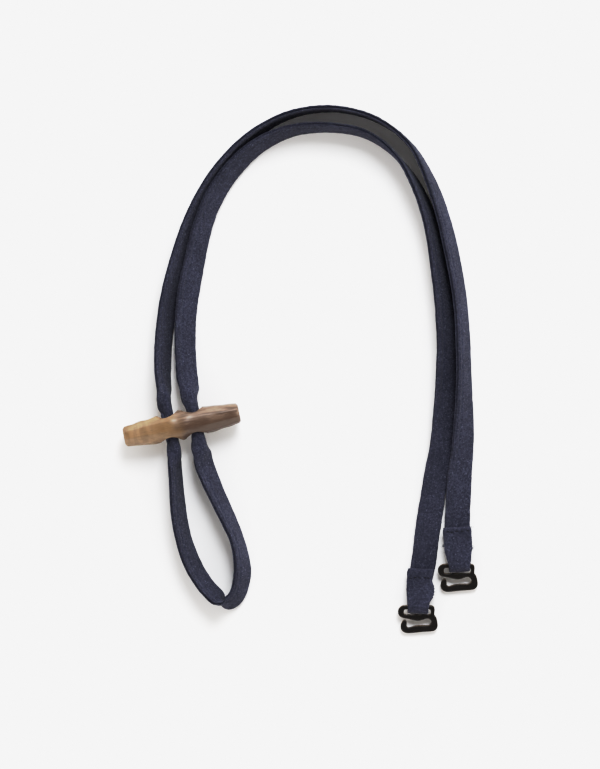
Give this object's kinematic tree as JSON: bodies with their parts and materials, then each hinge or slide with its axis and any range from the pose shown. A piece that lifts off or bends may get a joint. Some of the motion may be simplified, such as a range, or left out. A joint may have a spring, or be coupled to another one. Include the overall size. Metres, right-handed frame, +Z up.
{
  "type": "toggle neck strap with hook ends",
  "caption": "Narrow navy cotton strap laid double round an arch, with a tapered wooden toggle sliding on it above a small loop, and a black metal G-hook sewn into each end.",
  "frame": {"origin": "on the surface that the strap lies on, under the middle of the whole object's box", "axes": "+Y towards the top of the arch, +X towards the hook ends' side, +Z up out of the surface"},
  "size_m": [0.1424, 0.2112, 0.0124],
  "materials": {
    "strap_cotton": "navy plain-woven cotton, matt, with pale lint specks",
    "sewing_thread": "navy sewing thread",
    "toggle_wood": "carved and lightly polished, tan at one end and grey-brown at the other",
    "hook_enamel": "gloss black enamel on cast metal"
  },
  "bodies": {
    "strap": {"strap_inner_run": "strap_cotton", "strap_loop": "strap_cotton", "strap_outer_run": "strap_cotton", "left_tab": "strap_cotton", "right_tab": "strap_cotton", "left_tab_stitching": "sewing_thread", "right_tab_stitching": "sewing_thread"},
    "toggle": {"toggle": "toggle_wood"},
    "left_hook": {"left_hook": "hook_enamel"},
    "right_hook": {"right_hook": "hook_enamel"}
  },
  "joints": [
    {"name": "toggle_slide", "type": "slide", "parent": "strap", "child": "toggle", "axis": [0.2036, -0.979, 0], "range_m": [-0.004, 0.004]},
    {"name": "left_hook_swing", "type": "hinge", "parent": "strap", "child": "left_hook", "pos_m": [0.04681, -0.09505, 0.0027], "axis": [1, 0, 0], "range_deg": [-110, 90]},
    {"name": "right_hook_swing", "type": "hinge", "parent": "strap", "child": "right_hook", "pos_m": [0.06281, -0.07845, 0.0027], "axis": [1, 0.0087, 0], "range_deg": [-110, 90]}
  ]
}
